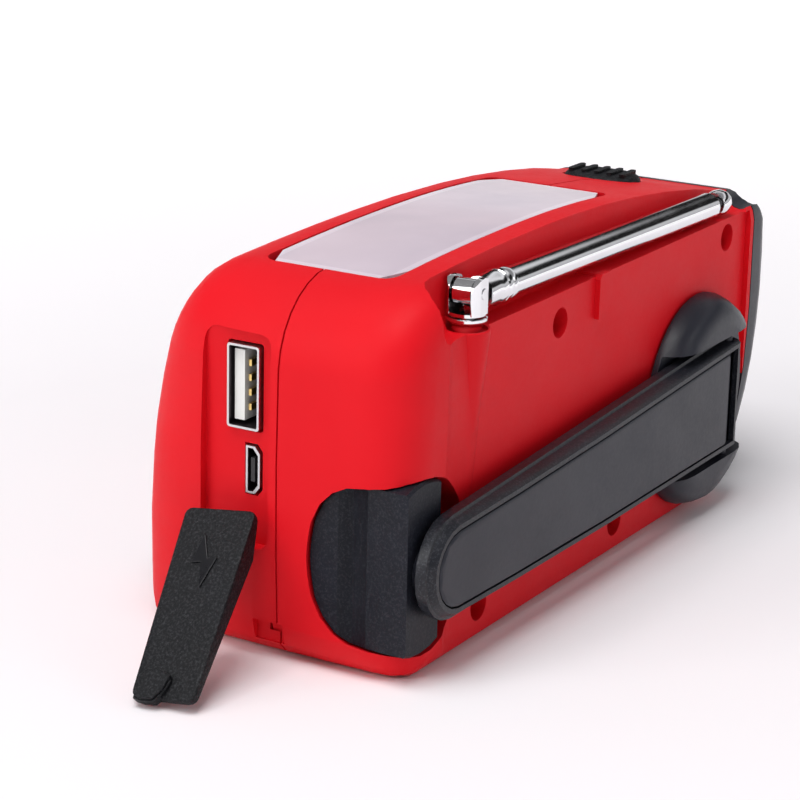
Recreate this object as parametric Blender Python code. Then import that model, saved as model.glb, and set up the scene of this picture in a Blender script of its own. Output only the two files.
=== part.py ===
"""Hand-crank emergency radio with solar panel, torch and folding crank.

Every separate piece is one named object. Sizes are in millimetres in the
constants below and become metres when a mesh is made. The origin lies under
the middle of the case on the surface it stands on: +X is the end with the
charging ports, -X the torch end, +Y the back with the crank, +Z up.
"""
import math

import bmesh
import bpy
from mathutils import Matrix, Vector

MM = 0.001
GAP = 0.3

# Case: depths are from the seam to the flat faces; the front swells out towards the bottom
BACK_DEPTH = 22.5
FRONT_DEPTH = 19.3
FRONT_SWELL = 0.46
SWELL_LINES = (8.5, 16.5, 27.0, 34.0, 40.0, 45.5, 50.5, 55.0)
NEAR_END = 62.4
NEAR_CORNER = 14.0
BOTTOM_CORNER = 5.5
TOP_MID = (8.0, 60.4)
WALL = 2.0
SEAM = 0.15
FAR_CORNER = 6.0
FAR_CENTRE = -58.4
BEZEL_JOINT = ((-58.9, 80.0), (-58.9, 44.0), (-59.0, 33.0), (-58.0, 22.0), (-55.0, 12.0), (-50.0, 4.5),
               (-43.0, -10.0))
BACK_FACE = 21.5
# Edge roundings: how far each reaches in depth and across
EDGE = {"top_front": (6.9, 6.2), "top_back": (5.0, 5.0), "bottom": (4.0, 4.0),
        "near_front": (16.2, 8.0), "near_back": (7.5, 7.5), "far": (3.5, 3.5)}
LEVELS = {"front": (0.0, 0.4, 1.3, 2.8, 4.8, 7.2, 11.0, 16.2),
          "back": (0.0, 0.35, 1.15, 2.3, 4.1, 6.5, 9.0)}

# Rebate along the top back edge, in which the antenna lies
REBATE_WALL = 16.2
REBATE_FLOOR = 51.0
REBATE_NEAR = 52.6
REBATE_FAR = -57.2

# Solar panel
PANEL_X = (-21.5, 49.8)
PANEL_Y = (-10.9, 11.5)
PANEL_FLOOR = 57.2

# Crank
HUB_X, HUB_Z = -37.0, 21.0
HUB_RADIUS = 18.9
HUB_BACK = 21.9
HUB_FRONT = 27.2
SLOT_HALF = 11.2
FOLD_X, FOLD_Y = -43.0, 25.6
ARM_IN, ARM_OUT = 23.3, 27.7
ARM_TIP = 61.4
ARM_SLOPE = ((-60.0, 0.0), (8.0, 0.0), (36.0, 0.5), (70.0, 1.6))
GRIP_X, GRIP_Z = 57.0, 18.0
GRIP_RADIUS = 13.6
GRIP_FLAT = 4.7
GRIP_TOP = 5.2
GRIP_BASE = 22.4
GRIP_SHOULDER = 15.5

# Gear train
GEAR_Y = (9.0, 12.0)
PINION_Y = (9.0, 12.0)
WHEEL_Y = (5.2, 8.2)
TOOTH = 1.0
DRIVE_TEETH, IDLER_PINION_TEETH, IDLER_TEETH, ROTOR_TEETH = 28, 8, 24, 8
IDLER_ANGLE = math.radians(60.0)
ROTOR_ANGLE = math.radians(-20.0)

# Antenna
MAST_X, MAST_Y = 41.0, 19.6
PIVOT_Z = 56.6
ROD_DROP = 0.84
ROD_SLOPE = math.radians(1.35)
ROD_RADII = ((2.35, 1.95), (1.75, 1.35), (1.15, 0.8), (0.6, 0.0))
ROD_LENGTH = 86.0

# Port recess, leash and cover
RECESS_Y = (-14.3, -1.5)
RECESS_Z = (17.4, 50.7)
RECESS_X = 60.2
COVER_TILT = math.radians(45.0)
COVER_TURN = math.radians(8.5)
COVER_ROOT = (65.3, -8.1, 23.9)
COVER_LENGTH = 31.5
COVER_WIDTHS = (12.0, 10.6)
COVER_INSIDE = ((0.0, 0.8), (6.5, 3.6), (COVER_LENGTH, 1.2))
LEASH_SEAT = (2.6, 0.0, -2.12)
USB_A = (-7.2, 42.0)
MICRO_USB = (-5.65, 29.1)

# Front controls
SPEAKER = (-28.0, 30.0)
TUNING = (36.0, 20.5)
VOLUME = (14.5, 17.0)
BAND = (1.0, 17.0)
WINDOW_X = (3.5, 40.5)
WINDOW_Z = (36.5, 50.5)
POINTER_X = 22.0
PINION_TEETH = 14
KNOB_BACK = -28.6

SCREWS = ((14.0, 46.0), (-49.5, 47.5), (-9.0, 6.0), (38.0, 6.0))

MATERIALS = {
    "red": ((0.72, 0.016, 0.022), 0.46, 0.0),
    "charcoal": ((0.045, 0.047, 0.062), 0.5, 0.0),
    "rubber": ((0.018, 0.018, 0.020), 0.7, 0.0),
    "chrome": ((0.85, 0.85, 0.87), 0.08, 1.0),
    "steel": ((0.55, 0.55, 0.56), 0.32, 1.0),
    "brass": ((0.78, 0.58, 0.24), 0.3, 1.0),
    "white": ((0.85, 0.85, 0.83), 0.4, 0.0),
    "board": ((0.03, 0.20, 0.09), 0.5, 0.0),
    "cell": ((0.10, 0.10, 0.22), 0.25, 0.0),
    "clear": ((0.80, 0.78, 0.84), 0.12, 0.0),
    "black": ((0.02, 0.02, 0.022), 0.5, 0.0),
    "foil": ((0.25, 0.32, 0.42), 0.35, 0.0),
    "paper": ((0.06, 0.055, 0.05), 0.85, 0.0),
    "amber": ((0.85, 0.35, 0.03), 0.4, 0.0),
}


# ---------------------------------------------------------------- basics

def clear_scene():
    for item in list(bpy.data.objects):
        bpy.data.objects.remove(item, do_unlink=True)


def material(name, look):
    colour, roughness, metallic = MATERIALS[look]
    result = bpy.data.materials.new(name)
    result.use_nodes = True
    shader = result.node_tree.nodes["Principled BSDF"]
    shader.inputs["Base Color"].default_value = (*colour, 1.0)
    shader.inputs["Roughness"].default_value = roughness
    shader.inputs["Metallic"].default_value = metallic
    return result


def solid(mesh_code):
    """Make an object from a bmesh in millimetres."""
    bmesh.ops.recalc_face_normals(mesh_code, faces=mesh_code.faces)
    mesh = bpy.data.meshes.new("solid")
    mesh_code.to_mesh(mesh)
    mesh_code.free()
    item = bpy.data.objects.new("solid", mesh)
    bpy.context.collection.objects.link(item)
    return item


def combine(item, tool, operation):
    """Apply one Boolean and drop its tool."""
    modifier = item.modifiers.new("Boolean", "BOOLEAN")
    modifier.operation = operation
    modifier.solver = "EXACT"
    modifier.object = tool
    graph = bpy.context.evaluated_depsgraph_get()
    mesh = bpy.data.meshes.new_from_object(item.evaluated_get(graph))
    item.modifiers.clear()
    item.data = mesh
    bpy.data.objects.remove(tool, do_unlink=True)
    return item


def cut(item, *tools):
    for tool in tools:
        combine(item, tool, "DIFFERENCE")
    return item


def fuse(item, *tools):
    for tool in tools:
        combine(item, tool, "UNION")
    return item


def common(item, tool):
    return combine(item, tool, "INTERSECT")


def finish(item, name, look, origin=(0.0, 0.0, 0.0), smooth=30.0):
    """Name a piece, bring it to metres about its origin and give it its material."""
    shift = Vector(origin)
    for vertex in item.data.vertices:
        vertex.co = (vertex.co - shift) * MM
    item.location = shift * MM
    item.name = name
    item.data.name = name
    item.data.materials.clear()
    item.data.materials.append(material(name, look))
    item.data.shade_smooth()
    item.data.set_sharp_from_angle(angle=math.radians(smooth))
    return item


# ---------------------------------------------------------------- outlines

def arc(centre, radius, start, end, steps):
    """Points on an arc, angles in degrees, both ends included."""
    points = []
    for step in range(steps + 1):
        angle = math.radians(start + (end - start) * step / steps)
        points.append((centre[0] + radius * math.cos(angle), centre[1] + radius * math.sin(angle)))
    return points


def circle(centre, radius, count):
    return arc(centre, radius, 0.0, 360.0 - 360.0 / count, count - 1)


def rounded_box(low, high, radius, steps=3):
    """Outline of a rectangle with round corners."""
    corners = (
        ((high[0] - radius, high[1] - radius), 0),
        ((low[0] + radius, high[1] - radius), 90),
        ((low[0] + radius, low[1] + radius), 180),
        ((high[0] - radius, low[1] + radius), 270),
    )
    points = []
    for centre, start in corners:
        points += arc(centre, radius, start, start + 90, steps)
    return points


def around(centre, size, radius, steps=3):
    low = (centre[0] - size[0] / 2, centre[1] - size[1] / 2)
    high = (centre[0] + size[0] / 2, centre[1] + size[1] / 2)
    return rounded_box(low, high, radius, steps)


# ---------------------------------------------------------------- solids

def place(axis, point, height):
    """Turn an outline point and a height along an axis into a position."""
    if axis == "X":
        return (height, point[0], point[1])
    if axis == "Y":
        return (point[0], height, point[1])
    return (point[0], point[1], height)


def loft(axis, rings):
    """Closed solid through rings, each a height and an outline of equal length."""
    mesh = bmesh.new()
    loops = [[mesh.verts.new(place(axis, p, height)) for p in points] for height, points in rings]
    count = len(loops[0])
    for lower, upper in zip(loops, loops[1:]):
        for index in range(count):
            after = (index + 1) % count
            mesh.faces.new((lower[index], lower[after], upper[after], upper[index]))
    mesh.faces.new(loops[0])
    mesh.faces.new(list(reversed(loops[-1])))
    return solid(mesh)


def prism(axis, points, start, end):
    return loft(axis, [(start, points), (end, points)])


def box(low, high):
    return prism("Z", [(low[0], low[1]), (high[0], low[1]), (high[0], high[1]), (low[0], high[1])],
                 low[2], high[2])


def turned(axis, centre, profile, count):
    """Solid of revolution. The profile lists radius and height; a zero radius is a pole."""
    mesh = bmesh.new()
    loops = []
    for radius, height in profile:
        if radius == 0.0:
            loops.append([mesh.verts.new(place(axis, centre, height))])
        else:
            loops.append([mesh.verts.new(place(axis, p, height)) for p in circle(centre, radius, count)])
    closed = profile[0][0] > 0.0 and profile[-1] == profile[0]
    if closed:
        loops[-1] = loops[0]
    for lower, upper in zip(loops, loops[1:]):
        for index in range(count):
            after = (index + 1) % count
            corners = [lower[index % len(lower)], lower[after % len(lower)],
                       upper[after % len(upper)], upper[index % len(upper)]]
            mesh.faces.new(list(dict.fromkeys(corners)))
    if not closed and len(loops[0]) > 1:
        mesh.faces.new(loops[0])
    if not closed and len(loops[-1]) > 1:
        mesh.faces.new(loops[-1])
    if closed:
        mesh.verts.ensure_lookup_table()
        bmesh.ops.delete(mesh, geom=[v for v in mesh.verts if not v.link_faces], context="VERTS")
    return solid(mesh)


def rod(axis, centre, radius, start, end, count=16):
    return prism(axis, circle(centre, radius, count), start, end)


def tube(axis, centre, outer, inner, start, end, count=16):
    return turned(axis, centre, [(outer, start), (outer, end), (inner, end), (inner, start),
                                 (outer, start)], count)


def bevelled(axis, points_at, start, end, edge):
    """Prism whose two ends are drawn in by a chamfer. points_at gives the outline for an inset."""
    return loft(axis, [(start, points_at(edge)), (start + edge, points_at(0.0)),
                       (end - edge, points_at(0.0)), (end, points_at(edge))])


# ---------------------------------------------------------------- case shape

def top_height(x):
    if x > TOP_MID[0]:
        return TOP_MID[1] - 1.2 * ((x - TOP_MID[0]) / 40.4) ** 2
    return TOP_MID[1] - 5.6 * ((x - TOP_MID[0]) / 62.0) ** 2


def bezier(points, steps):
    """Points on a cubic curve, both ends included."""
    result = []
    for step in range(steps + 1):
        t = step / steps
        weights = ((1 - t) ** 3, 3 * t * (1 - t) ** 2, 3 * t * t * (1 - t), t ** 3)
        result.append(tuple(sum(w * p[k] for w, p in zip(weights, points)) for k in (0, 1)))
    return result


def corner(centre_x, centre_z, radii, start, end, steps):
    """Quarter of an oval, angles in degrees, both ends included."""
    points = []
    for step in range(steps + 1):
        angle = math.radians(start + (end - start) * step / steps)
        points.append((centre_x + radii[0] * math.cos(angle), centre_z + radii[1] * math.sin(angle)))
    return points


def case_outline(near, far, top, bottom):
    """Side view of the case drawn in by an amount at each side, counter-clockwise."""
    end = NEAR_END - near
    start = -46.0 + 0.6 * far
    points = [(start + (56.0 - start) * step / 5, bottom) for step in range(5)]
    radii = (max(BOTTOM_CORNER - near, 0.6), max(BOTTOM_CORNER - bottom, 0.6))
    points += corner(end - 0.3 - radii[0], bottom + radii[1], radii, -90, 0, 3)
    points += [(end + 0.2, 18.0), (end + 0.3, 32.0)]
    radii = (NEAR_CORNER - near, NEAR_CORNER - top)
    points += corner(end - radii[0], 59.2 - NEAR_CORNER, radii, 4, 88, 7)
    points += [(x, top_height(x) - top) for x in (38.0, 26.0, 14.0, 2.0, -10.0, -22.0, -34.0, -46.0)]
    radii = (max(FAR_CORNER + 1.4 - far, 0.6), max(FAR_CORNER - top, 0.6))
    points += corner(FAR_CENTRE, top_height(FAR_CENTRE) - top - radii[1], radii, 82, 172, 4)
    points += bezier(((-66.3 + far, 42.0), (-67.1 + far, 24.0), (-61.0 + 0.9 * far, 4.0 + bottom),
                      (start, bottom)), 8)[:-1]
    return points


def drawn_in(name, inset, level):
    """How far one edge rounding draws the outline in at a depth below the flat face."""
    deep, wide = (max(reach - inset, 0.9) for reach in EDGE[name])
    share = 1.0 - min(level / deep, 1.0)
    return inset + wide * (1.0 - math.sqrt(1.0 - share * share))


def swell(z):
    """Widening of the front half at a height."""
    return 1.0 + FRONT_SWELL * (1.0 - (max(z, 0.0) / 60.0) ** 3)


def front_face(z):
    return -FRONT_DEPTH * swell(z)


def case_solid(inset):
    """The whole case as one solid, drawn in on all sides by an inset."""
    rings = []
    for side, face, inward in (("front", -FRONT_DEPTH, 1.0), ("back", BACK_DEPTH, -1.0)):
        half = []
        for level in LEVELS[side]:
            near = drawn_in("near_" + side, inset, level)
            top = drawn_in("top_" + side, inset, level)
            outline = case_outline(near, drawn_in("far", inset, level), top,
                                   drawn_in("bottom", inset, level))
            half.append((face + inward * (inset + level), outline))
        rings += half if side == "front" else list(reversed(half))
    return swollen(loft("Y", rings))


def swollen(item):
    """Split the front half into strips and widen each line of it by its height."""
    mesh = bmesh.new()
    mesh.from_mesh(item.data)
    for height in SWELL_LINES:
        faces = [face for face in mesh.faces if all(v.co.y < -0.01 for v in face.verts)]
        edges = {edge for face in faces for edge in face.edges}
        verts = {vertex for face in faces for vertex in face.verts}
        bmesh.ops.bisect_plane(mesh, geom=list(verts) + list(edges) + faces, plane_co=(0.0, 0.0, height),
                               plane_no=(0.0, 0.0, 1.0))
    bmesh.ops.remove_doubles(mesh, verts=mesh.verts, dist=0.04)
    for vertex in mesh.verts:
        if vertex.co.y < 0.0:
            vertex.co.y *= swell(vertex.co.z)
    front = [face for face in mesh.faces if all(vertex.co.y < -0.01 for vertex in face.verts)]
    bmesh.ops.triangulate(mesh, faces=front)
    mesh.to_mesh(item.data)
    mesh.free()
    return item


def case_half(side):
    """The part of the case on one side of the seam."""
    if side == "front":
        return cut(case_solid(0.0), box((-90.0, -SEAM, -20.0), (90.0, 50.0, 90.0)))
    return cut(case_solid(0.0), box((-90.0, -50.0, -20.0), (90.0, SEAM, 90.0)))


def seam_ring(outer, inner, start, end):
    """Thin wall following the case outline between two insets."""
    outside = prism("Y", case_outline(outer, outer, outer, outer), start, end)
    inside = prism("Y", case_outline(inner, inner, inner, inner), start - 1, end + 1)
    return cut(outside, inside)


def rebate_plan(inset):
    wall = REBATE_WALL + inset
    near = REBATE_NEAR - inset
    far = REBATE_FAR + inset
    points = arc((near - 6.0, wall + 6.0), 6.0, -90, 0, 4)
    return [(far, 32.0), (far, wall)] + points + [(near, 32.0)]


def rebate(grow):
    """Cutter for the antenna's rebate, or a larger copy that keeps a wall around it."""
    floor = REBATE_FLOOR - grow
    return loft("Z", [(floor, rebate_plan(1.6 - grow)), (floor + 0.5, rebate_plan(0.6 - grow)),
                      (floor + 1.6, rebate_plan(-grow)), (70.0, rebate_plan(-grow))])


def grip_profile(extra):
    """Domed body that the crank's grip is cut from, and the pocket it stows in."""
    radius = GRIP_RADIUS + extra
    depth = GRIP_SHOULDER - GRIP_TOP + extra
    profile = [(0.0, GRIP_TOP - extra)]
    for step in range(1, 7):
        angle = math.radians(90.0 * step / 6)
        profile.append((radius * math.sin(angle) ** 0.8, GRIP_SHOULDER - depth * math.cos(angle) ** 0.9))
    return profile[:-1] + [(radius, GRIP_SHOULDER)]


def grip_pocket(extra):
    profile = grip_profile(extra)
    profile.append((GRIP_RADIUS + extra, 34.0))
    return turned("Y", (GRIP_X, GRIP_Z), profile, 32)


def beyond_joint(side):
    """Everything on the far side of the curved joint between the shells and the torch bezel."""
    if side == "shells":
        return prism("Y", list(BEZEL_JOINT) + [(-90.0, -10.0), (-90.0, 80.0)], -40.0, 40.0)
    line = [(x - GAP, z) for x, z in BEZEL_JOINT]
    return prism("Y", line + [(90.0, -10.0), (90.0, 80.0)], -40.0, 40.0)


def top_recess():
    return prism("Z", rounded_box((PANEL_X[0] - 0.3, PANEL_Y[0] - 0.3),
                                  (PANEL_X[1] + 0.3, PANEL_Y[1] + 0.3), 2.3),
                 PANEL_FLOOR, 70.0)


def torch_button_outline(extra):
    return arc((-44.0, 1.6), 4.6 + extra, 0, 180, 6) + arc((-44.0, -3.4), 4.6 + extra, 180, 360, 6)


def hollow(side):
    """The space inside one half of the case, with what stands into it left solid."""
    space = case_solid(WALL)
    cut(space, box((-60.4, -30.0, -10.0), (-56.6, 30.0, 4.0)))
    cut(space, box((PANEL_X[0] - 2.5, -13.5, 55.4), (PANEL_X[1] + 2.5, 14.0, 70.0)))
    if side == "back":
        cut(space, rebate(WALL), grip_pocket(1.9))
        cut(space, box((MAST_X - 4.0, 12.0, 46.0), (MAST_X + 4.0, 30.0, 52.0)))
    else:
        cut(space, box((RECESS_X - 2.0, -17.0, 14.0), (70.0, 1.0, 55.5)))
    return space


def screw_boss(spot, outer, start, end):
    return rod("Y", spot, outer, start, end, 16)


# ---------------------------------------------------------------- case pieces

def front_shell():
    shell = case_half("front")
    cut(shell, beyond_joint("shells"), hollow("front"))
    cut(shell, seam_rebate())
    for spot in SCREWS[1:]:
        fuse(shell, screw_boss(spot, 3.3, front_face(spot[1]) + 1.4, 5.6))
    x, z = SCREWS[0]
    hung = screw_boss(SCREWS[0], 3.3, -11.5, 5.6)
    fuse(shell, fuse(hung, box((x - 0.8, -11.0, z + 1.0), (x + 0.8, -2.2, 56.0))))
    for spot in SCREWS:
        cut(shell, rod("Y", spot, 1.5, -10.0, 10.0, 12))
    cut(shell, top_recess())
    cut(shell, prism("Z", torch_button_outline(GAP), 48.0, 70.0))
    port_recess(shell)
    front_openings(shell)
    cut(shell, lanyard_notch())
    return finish(shell, "front_shell", "red")


def lanyard_notch():
    """Small square pocket across the seam at the bottom of the port end."""
    return box((60.9, -4.4, 2.6), (66.0, 1.0, 6.0))


def seam_rebate():
    """Groove around the seam edge of the front shell for the back shell's lip."""
    return seam_ring(0.9, WALL + 0.6, -2.0, 1.0)


def port_recess(shell):
    """Shallow recess for the port cover, with the port openings and the leash hole."""
    cut(shell, prism("X", rounded_box((RECESS_Y[0], RECESS_Z[0]), (RECESS_Y[1], RECESS_Z[1]), 2.2),
                     RECESS_X, 75.0))
    cut(shell, prism("X", around(USB_A, (5.72 + 0.7, 13.1 + 0.7), 0.5, 2), 50.0, 70.0))
    cut(shell, prism("X", micro_outline(0.35), 50.0, 70.0))
    cut(shell, rod("X", leash_line(), 1.25, 50.0, 75.0, 12))


def micro_outline(extra):
    """D-shaped mouth of the micro connector, in Y and Z."""
    y, z = MICRO_USB
    low, high = y - 1.25 - extra, y + 1.25 + extra
    half = 3.75 + extra
    return [(low, z - half), (high - 0.9, z - half), (high, z - half + 1.1),
            (high, z + half - 1.1), (high - 0.9, z + half), (low, z + half)]


def front_openings(shell):
    """Speaker slots, dial window, knob holes and the band switch slot."""
    for row in range(-3, 4):
        height = 4.6 * row
        half = math.sqrt(17.0 ** 2 - height ** 2)
        slot = around((SPEAKER[0], SPEAKER[1] + height), (2 * half, 2.2), 1.09, 3)
        cut(shell, prism("Y", slot, -32.0, -19.5))
    cut(shell, window_skin(0.0, -0.5, 1.6))
    opening = rounded_box((WINDOW_X[0] + 2, WINDOW_Z[0] + 2), (WINDOW_X[1] - 2, WINDOW_Z[1] - 2), 1.0)
    cut(shell, prism("Y", opening, -32.0, -17.0))
    cut(shell, rod("Y", TUNING, 3.0, -32.0, -19.0), rod("Y", VOLUME, 3.0, -32.0, -19.0))
    cut(shell, prism("Y", around(BAND, (3.0, 13.0), 1.0), -32.0, -19.0))


def window_skin(draw, outer, inner):
    """Plate behind the window outline that follows the front's curve, between two depths."""
    middle = (WINDOW_Z[0] + WINDOW_Z[1]) / 2
    half = WINDOW_Z[1] - middle - draw
    rings = []
    for step in range(13):
        rise = -half * math.cos(math.pi * step / 12)
        short = max(1.8 - half + abs(rise), 0.0)
        side = draw + 1.8 - math.sqrt(1.8 ** 2 - short ** 2)
        left, right = WINDOW_X[0] + side, WINDOW_X[1] - side
        face = front_face(middle + rise)
        ring = [(left, face + outer), (right, face + outer), (right, face + inner), (left, face + inner)]
        rings.append((middle + rise, ring))
    return loft("Z", rings)


def back_shell():
    shell = case_half("back")
    cut(shell, beyond_joint("shells"), back_face_recess(), hollow("back"))
    fuse(shell, seam_lip())
    for spot in SCREWS:
        fuse(shell, screw_boss(spot, 3.9, 6.0, 21.0))
    fuse(shell, antenna_boss())
    cut(shell, rebate(0.0))
    fuse(shell, antenna_rest())
    for spot in SCREWS:
        cut(shell, rod("Y", spot, 2.5, 9.0, 30.0, 16), rod("Y", spot, 1.5, 0.0, 30.0, 12))
    cut(shell, top_recess(), grip_pocket(0.35))
    cut(shell, prism("Z", torch_button_outline(GAP), 48.0, 70.0))
    cut(shell, rod("Y", (HUB_X, HUB_Z), 3.3, 10.0, 30.0, 20))
    cut(shell, rod("Z", (MAST_X, MAST_Y), 1.5, 44.0, 60.0, 16),
        rod("Z", (MAST_X, MAST_Y), 3.25, 50.4, 60.0, 20))
    cut(shell, rod("Z", (MAST_X, MAST_Y), 2.2, 43.4, 46.0, 16))
    cut(shell, box((MAST_X - 1.9, 10.0, 43.4), (MAST_X + 1.9, MAST_Y, 46.0)))
    cut(shell, rod_groove(), lanyard_notch())
    return finish(shell, "back_shell", "red")


def seam_lip():
    """Lip that fits inside the front shell, left out at the joint, the ports and the panel."""
    lip = seam_ring(1.2, WALL + 0.01, -1.6, 2.0)
    cut(lip, beyond_joint("shells"))
    cut(lip, box((RECESS_X - 3.5, -5.0, 14.0), (70.0, SEAM, 56.0)))
    return cut(lip, box((PANEL_X[0] - 3.0, -5.0, 50.0), (PANEL_X[1] + 3.0, SEAM, 70.0)))


def back_face_recess():
    """The back face lies a little below the shoulder at the port end."""
    plan = [(-57.6, BACK_FACE), (45.0, BACK_FACE), (47.5, BACK_FACE + 0.15), (49.5, BACK_FACE + 0.5),
            (51.5, BACK_DEPTH + 0.2), (51.5, 30.0), (-57.6, 30.0)]
    return prism("Z", plan, -1.0, 51.0)


def antenna_boss():
    """Half-cone under the antenna, tapering into the back face."""
    return turned("Z", (MAST_X, MAST_Y - 0.6), [(2.6, 35.0), (4.2, 50.8), (3.9, 51.2)], 24)


def antenna_rest():
    rest = [(-2.5, 44.0), (2.1, 44.0), (2.1, 50.6), (1.5, 51.4), (-1.9, 51.4), (-2.5, 50.6)]
    return prism("Y", rest, 14.5, 22.4)


def torch_bezel():
    """Dark cap at the torch end that holds the lens and the lamps."""
    bezel = cut(case_solid(0.0), beyond_joint("bezel"))
    cut(bezel, prism("X", rounded_box((-18.4, 20.0), (18.4, 47.6), 7.0, 4), -70.0, -61.0))
    cut(bezel, prism("X", rounded_box((-16.2, 22.0), (16.2, 45.6), 5.5, 4), -70.0, -50.0))
    cut(bezel, rod_groove())
    return finish(bezel, "torch_bezel", "charcoal")


def torch_lens():
    lens = prism("X", rounded_box((-18.1, 20.3), (18.1, 47.3), 6.7, 4), -62.4, -61.3)
    return finish(lens, "torch_lens", "clear")


def lamp_places():
    return [(-10.0, 33.8), (0.0, 33.8), (10.0, 33.8)]


def torch_reflector():
    """Bright plate with a bowl for each lamp."""
    plate = prism("X", rounded_box((-15.8, 22.4), (15.8, 45.2), 5.1, 4), -60.9, -55.0)
    for spot in lamp_places():
        cut(plate, turned("X", spot, [(2.9, -50.0), (2.9, -56.4), (4.6, -62.0)], 16))
    return finish(plate, "torch_reflector", "chrome")


def torch_lamp(index, spot):
    lamp = turned("X", spot, [(2.5, -54.2), (2.5, -57.4), (2.1, -58.6), (1.2, -59.4), (0.0, -59.7)], 12)
    return finish(lamp, f"torch_lamp_{index}", "clear")


def lamp_board():
    board = prism("X", rounded_box((-15.0, 23.5), (15.0, 43.5), 1.0, 1), -53.9, -52.7)
    return finish(board, "lamp_board", "board")


def case_screw(index, spot):
    head = [(0.0, 11.2), (1.3, 11.1), (2.1, 10.6), (2.3, 9.4), (1.2, 9.3), (1.2, -5.0), (0.0, -5.8)]
    return finish(turned("Y", spot, head, 12), f"case_screw_{index}", "steel")


# ---------------------------------------------------------------- top pieces

def solar_cell():
    cell = prism("Z", rounded_box((PANEL_X[0] + 0.3, PANEL_Y[0] + 0.3),
                                  (PANEL_X[1] - 0.3, PANEL_Y[1] - 0.3), 1.6, 2),
                 PANEL_FLOOR + GAP, PANEL_FLOOR + 0.9)
    return finish(cell, "solar_cell", "cell")


def solar_cover():
    """Clear cover, flat below and following the arched top above."""
    mesh = bmesh.new()
    columns = 14
    rows = []
    for step in range(columns + 1):
        x = PANEL_X[0] + (PANEL_X[1] - PANEL_X[0]) * step / columns
        reach = min(x - PANEL_X[0], PANEL_X[1] - x)
        draw = 2.0 - math.sqrt(max(4.0 - (2.0 - min(reach, 2.0)) ** 2, 0.0))
        low, high = PANEL_Y[0] + draw, PANEL_Y[1] - draw
        top = top_height(x) - 0.12
        rows.append([mesh.verts.new((x, y, z)) for y, z in
                     ((low, PANEL_FLOOR + 1.2), (high, PANEL_FLOOR + 1.2), (high, top), (low, top))])
    for left, right in zip(rows, rows[1:]):
        for index in range(4):
            after = (index + 1) % 4
            mesh.faces.new((left[index], left[after], right[after], right[index]))
    mesh.faces.new(rows[0])
    mesh.faces.new(rows[-1])
    return finish(solid(mesh), "solar_cover", "clear")


def torch_button():
    """Oval button with grip ridges, standing 1.4 mm out of the top."""
    rings = [(51.6, torch_button_outline(1.4)), (52.6, torch_button_outline(1.4)),
             (52.6, torch_button_outline(0.0)), (56.6, torch_button_outline(0.0)),
             (57.2, torch_button_outline(-0.5)), (57.5, torch_button_outline(-1.3))]
    button = loft("Z", rings)
    for row in range(-2, 3):
        ridge = around((-44.0, -0.9 + 2.5 * row), (5.4, 1.1), 0.5, 2)
        fuse(button, prism("Z", ridge, 57.0, 58.0))
    return finish(button, "torch_button", "rubber", origin=(-44.0, -0.9, 55.0))


def torch_switch():
    switch = box((-45.9, -3.9, 46.6), (-42.1, 2.1, 50.0))
    fuse(switch, rod("Z", (-44.0, -0.9), 1.7, 49.8, 50.6, 12))
    return finish(switch, "torch_switch", "black")


# ---------------------------------------------------------------- ports

def main_board():
    board = prism("Y", rounded_box((-6.0, 13.0), (57.9, 51.0), 1.0, 1), -4.0, -2.4)
    x, z = SCREWS[0]
    cut(board, rod("Y", SCREWS[0], 4.2, -6.0, 0.0, 16), box((x - 2.0, -6.0, z), (x + 2.0, 0.0, 60.0)))
    cut(board, box((50.0, -5.0, 21.4), (62.0, 0.0, 25.6)))
    return finish(board, "main_board", "board")


def usb_a_shell():
    y, z = USB_A
    shell = prism("X", around((y, z), (5.72, 13.1), 0.4, 2), 47.0, 61.0)
    cut(shell, prism("X", around((y, z), (5.02, 12.4), 0.25, 2), 47.6, 62.0))
    return finish(shell, "usb_a_shell", "steel")


def usb_a_tongue():
    y, z = USB_A
    return finish(box((48.0, y - 2.1, z - 5.5), (60.0, y - 0.3, z + 5.5)), "usb_a_tongue", "white")


def usb_contact(index):
    """One of four spring contacts lying on the tongue."""
    y, z = USB_A
    height = z + (index - 2.5) * 2.3
    return finish(box((50.0, y, height - 0.5), (59.4, y + 0.5, height + 0.5)), f"usb_contact_{index}",
                  "brass")


def micro_usb_shell():
    shell = prism("X", micro_outline(0.0), 55.4, 60.5)
    cut(shell, prism("X", micro_outline(-0.33), 55.9, 62.0))
    return finish(shell, "micro_usb_shell", "steel")


def micro_usb_tongue():
    y, z = MICRO_USB
    return finish(box((56.3, y - 0.45, z - 1.9), (60.3, y + 0.25, z + 1.9)), "micro_usb_tongue", "black")


def cover_frame():
    """Place of the hanging cover: its long way down, its width, and its outward face."""
    down = Vector((math.sin(COVER_TILT), 0.0, -math.cos(COVER_TILT)))
    out = Vector((math.cos(COVER_TILT), 0.0, math.sin(COVER_TILT)))
    matrix = Matrix((down, Vector((0.0, 1.0, 0.0)), out)).transposed().to_4x4()
    matrix.translation = Vector(COVER_ROOT)
    return matrix @ Matrix.Rotation(COVER_TURN, 4, "Z")


def leash_point():
    return cover_frame() @ Vector(LEASH_SEAT)


def leash_line():
    """Y and Z of the straight line along which the leash slides."""
    seat = leash_point()
    return (seat.y, seat.z - 1.2 * math.sin(COVER_TILT / 2))


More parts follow.
